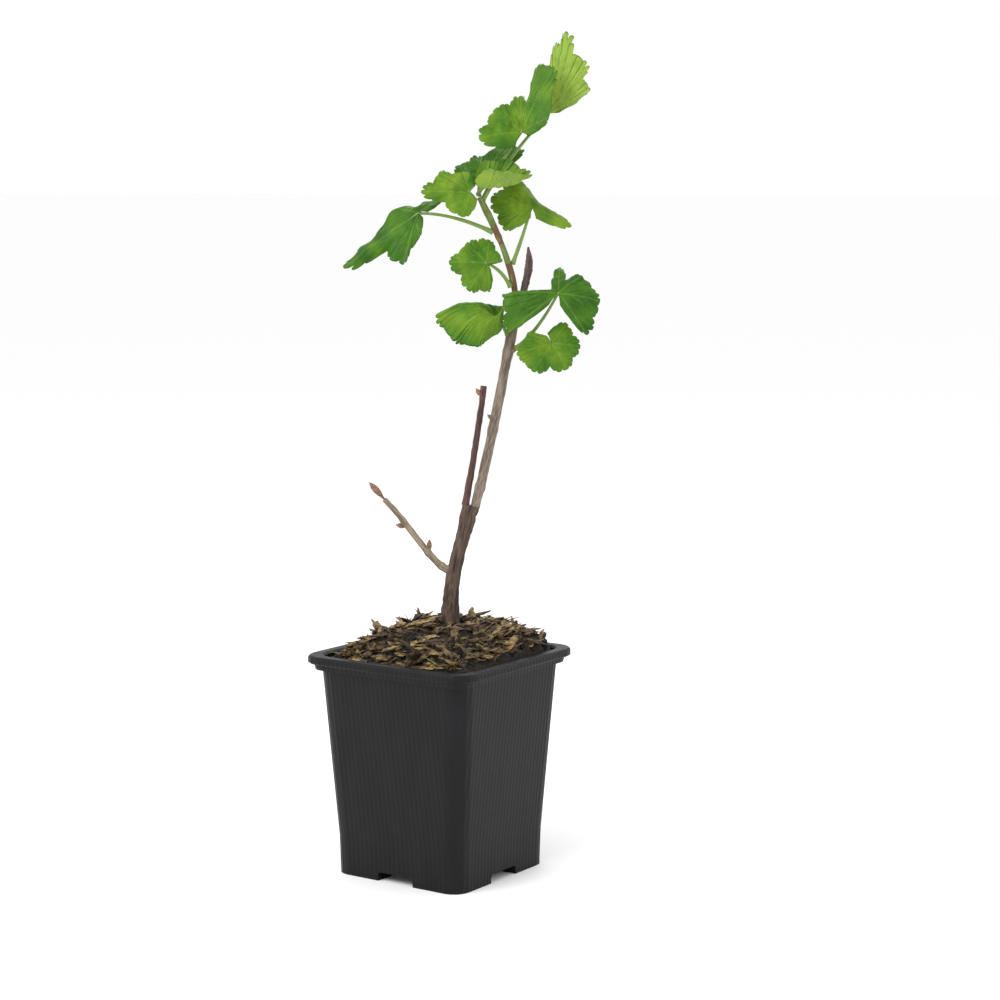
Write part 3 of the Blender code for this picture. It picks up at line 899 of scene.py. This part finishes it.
def shards(centres, sizes, tilts, turns, seed):
    """Splinters: a ring profile that swells and ends bluntly, roughened, bent, sized, tilted and turned."""
    rough = np.random.default_rng(seed)
    rows, count = len(CHIP_SWELL), len(centres)
    swell = np.array(CHIP_SWELL)[:, None, None] * ring(ring_angles(CHIP_SIDES) + math.pi / CHIP_SIDES)
    run = np.broadcast_to(np.linspace(-1, 1, rows)[:, None, None], (rows, CHIP_SIDES, 1))
    tip = np.broadcast_to([CHIP_TIP, 0, 0], (1, CHIP_SIDES, 3))
    splinter = np.concatenate([-tip, np.concatenate([run, swell], axis=2), tip])
    shape = np.broadcast_to(splinter, (count, *splinter.shape)).copy()
    shape[:, 1:-1] *= 1 + CHIP_ROUGHNESS * rough.normal(size=(count, rows, CHIP_SIDES, 1))
    shape[..., 2] += CHIP_BEND * rough.normal(size=(count, 1, 1)) * shape[..., 0] ** 2
    shape *= sizes[:, None, None, :] / 2
    x, z = turned(shape[..., 0], shape[..., 2], tilts)
    x, y = turned(x, shape[..., 1], turns)
    points = np.stack([x, y, z], axis=-1) + centres[:, None, None, :]
    corners = len(splinter) * CHIP_SIDES
    faces = grid_faces(len(splinter), CHIP_SIDES, True) + (np.arange(count) * corners)[:, None, None]
    tone = np.repeat(rough.uniform(0, 1, count), corners)
    return points.reshape(-1, 3), faces.reshape(-1, 4), {"tone": tone}


def ends_inside(flat, lengths, turns):
    """Whether both ends of each shard, placed from the pot's middle, stay off the pot's wall."""
    reach = lengths[:, None] / 2 * ring(turns)
    room = [soil_brim(polar_angle(end)) - np.linalg.norm(end, axis=1) for end in (flat - reach, flat + reach)]
    return np.min(room, axis=0) > WALL_ROOM


def scatter(litter):
    """Shards dealt at random over the mound, clear of the pot's wall and the trunk.

    One whose ends would reach the wall is laid along it.
    """
    rough = np.random.default_rng(litter.seed)
    tries = litter.count * TRIES_PER_PIECE
    flat = rough.uniform(-1, 1, (tries, 2)) * (SOIL_HALF_WIDTH - SPREAD_ROOM)
    picks = rough.uniform(0, 1, (tries, 3)) ** (LENGTH_BIAS, 1, 1)
    least, most = np.transpose([litter.lengths, litter.widths, litter.depths])
    sizes = least + (most - least) * picks
    lengths = sizes[:, 0]
    turns = rough.uniform(0, 2 * math.pi, tries)
    along_wall = np.where(np.abs(flat[:, 0]) > np.abs(flat[:, 1]), math.pi / 2, 0)
    turns = np.where(ends_inside(flat, lengths, turns), turns, along_wall)
    from_trunk = np.linalg.norm(flat + POT_CENTRE[:2] - trunk_foot(), axis=1)
    clear = from_trunk - lengths / 2 > TRUNK_ROOM
    kept = np.flatnonzero(ends_inside(flat, lengths, turns) & clear)[: litter.count]
    flat, sizes, turns = flat[kept] + POT_CENTRE[:2], sizes[kept], turns[kept]
    height = soil_height(flat) + sizes[:, 2] * (0.5 - litter.sunk)
    tilts = rough.normal(size=len(kept)) * litter.lean
    return shards(np.c_[flat, height], sizes, tilts, turns, litter.seed + 1)


def linear(colour):
    """Linear RGBA of an sRGB hex colour."""
    values = np.array([int(colour[k : k + 2], 16) / 255 for k in (1, 3, 5)])
    straight = np.where(values <= 0.04045, values / 12.92, ((values + 0.055) / 1.055) ** 2.4)
    return (*straight.tolist(), 1.0)


def node(tree, kind, settings, inputs):
    """Adds a shader node with its settings, and joins its inputs to values or to other nodes' outputs."""
    made = tree.nodes.new(kind)
    for key, value in settings.items():
        setattr(made, key, value)
    for key, value in inputs.items():
        if isinstance(value, bpy.types.NodeSocket):
            tree.links.new(value, made.inputs[key])
        else:
            made.inputs[key].default_value = value
    return made


def maths(tree, operation, *values):
    """One sum on numbers or sockets."""
    return node(tree, "ShaderNodeMath", {"operation": operation}, dict(enumerate(values))).outputs[0]


def mix(tree, factor, one, other):
    """Colour between two, each a socket or an sRGB hex colour, by a factor."""
    one, other = (linear(colour) if isinstance(colour, str) else colour for colour in (one, other))
    return node(tree, "ShaderNodeMix", {"data_type": "RGBA"}, {0: factor, 6: one, 7: other}).outputs[2]


def attribute(tree, name):
    """Value that the piece holds for each point under this name."""
    return node(tree, "ShaderNodeAttribute", {"attribute_name": name}, {}).outputs["Fac"]


def object_place(tree):
    """Coordinates of the piece itself, in metres."""
    return node(tree, "ShaderNodeTexCoord", {}, {}).outputs["Object"]


def noise(tree, size_mm, detail=3.0, upright=1):
    """Noise whose features are about this many mm across, and longer upright where that is under 1."""
    inputs = {"Vector": object_place(tree), "Scale": (1, 1, upright)}
    where = node(tree, "ShaderNodeMapping", {}, inputs).outputs[0]
    inputs = {"Vector": where, "Scale": 1 / (size_mm * MM), "Detail": detail}
    return node(tree, "ShaderNodeTexNoise", {}, inputs).outputs["Fac"]


def ramp(tree, factor, low, high):
    """Factor stretched from low..high to 0..1, held at its ends."""
    inputs = {"Value": factor, "From Min": low, "From Max": high}
    return node(tree, "ShaderNodeMapRange", {"clamp": True}, inputs).outputs[0]


def start_material(name, **finish):
    """New material, its tree, and its shader with these settings, whose names have _ for a space."""
    material = bpy.data.materials.new(name)
    material.use_nodes = True
    shader = material.node_tree.nodes["Principled BSDF"]
    for key, value in finish.items():
        shader.inputs[key.replace("_", " ")].default_value = value
    return material, material.node_tree, shader


def paint(tree, shader, colour, height, distance_mm, strength):
    """Gives the shader a colour, and relief by bump."""
    inputs = {"Height": height, "Distance": distance_mm * MM, "Strength": strength}
    relief = node(tree, "ShaderNodeBump", {}, inputs).outputs[0]
    tree.links.new(colour, shader.inputs["Base Color"])
    tree.links.new(relief, shader.inputs["Normal"])


def living_leaf():
    """Soft currant leaf: satin yellow-green to deep green above, paler and greyer beneath.

    Mottling makes the blade look alive, and the veins show a little paler on both sides.
    """
    material, tree, shader = start_material(
        "living leaf",
        Roughness=0.5,
        IOR=1.42,
        Specular_IOR_Level=0.22,
        Subsurface_Weight=0.12,
        Subsurface_Radius=(0.0012, 0.0016, 0.0005),
    )
    tint = attribute(tree, "tint")
    above = mix(tree, ramp(tree, tint, low=0.0, high=0.55), "#70901f", "#437012")
    above = mix(tree, ramp(tree, tint, low=0.5, high=1.0), above, "#28530f")
    mottle = ramp(tree, noise(tree, size_mm=5.0, detail=4.0), low=0.35, high=0.7)
    above = mix(tree, mottle, above, mix(tree, 0.35, above, "#1c3f0c"))
    veins = ramp(tree, attribute(tree, "vein"), low=0.25, high=1.0)
    above = mix(tree, maths(tree, "MULTIPLY", veins, 0.26), above, "#7f9c3c")
    beneath = mix(tree, ramp(tree, tint, low=0.0, high=1.0), "#86a13c", "#5b7f34")
    beneath = mix(tree, maths(tree, "MULTIPLY", veins, 0.35), beneath, "#9db25c")
    colour = mix(tree, attribute(tree, "upper"), beneath, above)
    paint(tree, shader, colour, noise(tree, size_mm=0.9, detail=2.0), distance_mm=0.12, strength=0.6)
    return material


def green_stalk():
    """Leaf stalk: a smooth pale green skin, slightly blotched."""
    material, tree, shader = start_material("green leaf stalk", Roughness=0.5)
    blotch = ramp(tree, noise(tree, size_mm=6.0), low=0.3, high=0.7)
    colour = mix(tree, blotch, "#6f8a38", "#5c7a2e")
    paint(tree, shader, colour, noise(tree, size_mm=0.8), distance_mm=0.08, strength=0.5)
    return material


def bark(look):
    """Bark: fibres lie light and crevices dark, with darker blotches; buds are brown scales.

    A patch of another colour, where the stem has one, has a ragged edge.
    """
    material, tree, shader = start_material(look.name, Roughness=0.72)
    fibre = ramp(tree, attribute(tree, "crevice"), low=-1.3, high=1.1)
    colour = mix(tree, fibre, look.crevice, look.fibre)
    blotch = ramp(tree, noise(tree, size_mm=3.5, detail=4.0, upright=0.35), low=0.45, high=0.65)
    colour = mix(tree, blotch, colour, mix(tree, 0.4, colour, look.crevice))
    share = attribute(tree, "share")
    for low, high in look.patches:
        inside = maths(tree, "COMPARE", share, (low + high) / 2, (high - low) / 2)
        ragged = ramp(tree, noise(tree, size_mm=2.5, upright=0.3), low=0.38, high=0.5)
        colour = mix(tree, maths(tree, "MULTIPLY", inside, ragged), colour, look.patch)
    on_bud = maths(tree, "GREATER_THAN", share, (1 + BUD_MARK) / 2)
    scale = ramp(tree, noise(tree, size_mm=1.2, detail=2.0), low=0.4, high=0.6)
    scales = mix(tree, scale, look.bud, mix(tree, 0.5, look.bud, look.fibre))
    colour = mix(tree, on_bud, colour, scales)
    grain = noise(tree, size_mm=0.5, detail=4.0, upright=0.25)
    paint(tree, shader, colour, grain, distance_mm=0.15, strength=0.6)
    return material


def chip_wood(litter):
    """Bark and wood chips: each has its own tone, with grain and damp dark stains."""
    material, tree, shader = start_material(litter.finish, Roughness=0.85)
    dark, pale, stained = litter.tones
    colour = mix(tree, attribute(tree, "tone"), dark, pale)
    stain = ramp(tree, noise(tree, size_mm=2.5, detail=4.0), low=0.42, high=0.62)
    colour = mix(tree, stain, colour, stained)
    grain = noise(tree, size_mm=0.6, detail=4.0)
    paint(tree, shader, colour, grain, distance_mm=0.25, strength=0.8)
    return material


def damp_compost():
    """Peat-like compost: near black with brown crumbs."""
    material, tree, shader = start_material("damp compost", Roughness=0.95)
    crumbs = ramp(tree, noise(tree, size_mm=1.4, detail=5.0), low=0.4, high=0.68)
    colour = mix(tree, crumbs, "#100c08", "#2c2116")
    grain = noise(tree, size_mm=0.9, detail=6.0)
    paint(tree, shader, colour, grain, distance_mm=0.8, strength=1.0)
    return material


def black_polypropylene():
    """Moulded black pot plastic: dull satin with fine upright ribs from the mould, and faint scuffs."""
    material, tree, shader = start_material(
        "moulded black polypropylene", Roughness=0.5, IOR=1.49, Specular_IOR_Level=0.22
    )
    scuff = ramp(tree, noise(tree, size_mm=9.0, detail=5.0, upright=0.3), low=0.4, high=0.75)
    colour = mix(tree, scuff, "#09090b", "#101114")
    place = node(tree, "ShaderNodeSeparateXYZ", {}, {"Vector": object_place(tree)}).outputs
    along_wall = maths(tree, "SUBTRACT", place[0], place[1])
    ribs = maths(tree, "SINE", maths(tree, "MULTIPLY", along_wall, 2 * math.pi / (RIB_PITCH * MM)))
    paint(tree, shader, colour, ribs, distance_mm=0.1, strength=0.4)
    return material


def finish_piece(piece, material, slot, in_place=False):
    """Gives a piece its material and hangs it under the root; where it stands in place of the slot's solid,
    that solid is hidden.
    """
    piece.data.materials.append(material)
    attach(piece, "root")
    if in_place:
        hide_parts(slot)


def make_pot_and_soil():
    """The pot's own mesh in its plastic, and the mound with its litter in place of the potting mix."""
    pot_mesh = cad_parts["pot"].data
    pot_mesh.materials.clear()
    pot_mesh.materials.append(black_polypropylene())
    mound = make_piece("compost_mound", *soil_mound())
    finish_piece(mound, damp_compost(), "potting_mix", in_place=True)
    for litter in LITTER:
        piece = make_piece(litter.name, *scatter(litter), smooth=False)
        finish_piece(piece, chip_wood(litter), "potting_mix")


def make_stems():
    """Every stem with its bark, in place of its solid."""
    for number, (name, limb) in enumerate(LIMBS.items()):
        parts = limb_parts(name, limb, STEM_SEED + STEM_SEED_STEP * number)
        finish_piece(make_piece(name + "_bark", *joined(parts)), bark(BARKS[name]), name, in_place=True)


def make_foliage():
    """Every mass of leaves, its blades and its stalks apart, in place of its solid."""
    green, pale = living_leaf(), green_stalk()
    seed = LEAF_SEED
    for name, leaves in FOLIAGE.items():
        blades, stalks = [], []
        for leaf in leaves:
            blades.append(blade(leaf, seed))
            stalks.append(stalk(leaf, seed + STALK_SEED))
            seed += LEAF_SEED_STEP
        finish_piece(make_piece(name + "_blades", *joined(blades)), green, name, in_place=True)
        finish_piece(make_piece(name + "_stalks", *joined(stalks)), pale, name)


def make_camera():
    """The photograph's view onto one corner of the pot, from a little above."""
    camera = bpy.data.cameras.new("camera")
    camera.lens = CAMERA_LENS
    camera.sensor_width = CAMERA_SENSOR
    camera.clip_end = CAMERA_REACH_M
    eye = bpy.data.objects.new("camera", camera)
    eye.location = spot(CAMERA_PLACE) * MM
    eye.rotation_euler = (math.pi / 2 - CAMERA_PITCH, 0, VIEW_TURN)
    bpy.context.scene.collection.objects.link(eye)
    bpy.context.scene.camera = eye


def make_floor():
    """A wide square of pale matt floor, which fades into the white surround."""
    corners = np.array([(-1, -1, 0), (1, -1, 0), (1, 1, 0), (-1, 1, 0)]) * FLOOR_HALF_WIDTH_M
    mesh = bpy.data.meshes.new("floor")
    mesh.from_pydata(corners.tolist(), [], [(0, 1, 2, 3)])
    floor = bpy.data.objects.new("floor", mesh)
    bpy.context.scene.collection.objects.link(floor)
    finish = {"Base_Color": linear("#fdfdfd"), "Roughness": 0.9, "Specular_IOR_Level": 0.1}
    mesh.materials.append(start_material("pale studio floor", **finish)[0])


def make_lamp(lamp):
    """A lamp that faces the plant's middle."""
    light = bpy.data.lights.new(lamp.name, "AREA")
    light.energy = lamp.power
    light.size = lamp.width
    holder = bpy.data.objects.new(lamp.name, light)
    away = direction(lamp.way)
    holder.location = spot(LAMPS_AIM) * MM + away * LAMPS_DISTANCE_M
    holder.rotation_euler = (math.acos(away[2]), 0, math.atan2(away[1], away[0]) + math.pi / 2)
    bpy.context.scene.collection.objects.link(holder)


def make_studio():
    """Pale floor, an even white surround and three soft lamps, shown without a film curve."""
    make_floor()
    world = bpy.data.worlds.new("studio")
    world.use_nodes = True
    surround = world.node_tree.nodes["Background"]
    surround.inputs["Color"].default_value = (1, 1, 1, 1)
    surround.inputs["Strength"].default_value = 1.0
    bpy.context.scene.world = world
    for lamp in LAMPS:
        make_lamp(lamp)
    bpy.context.scene.view_settings.view_transform = "Standard"


make_camera()
make_studio()
make_pot_and_soil()
make_stems()
make_foliage()
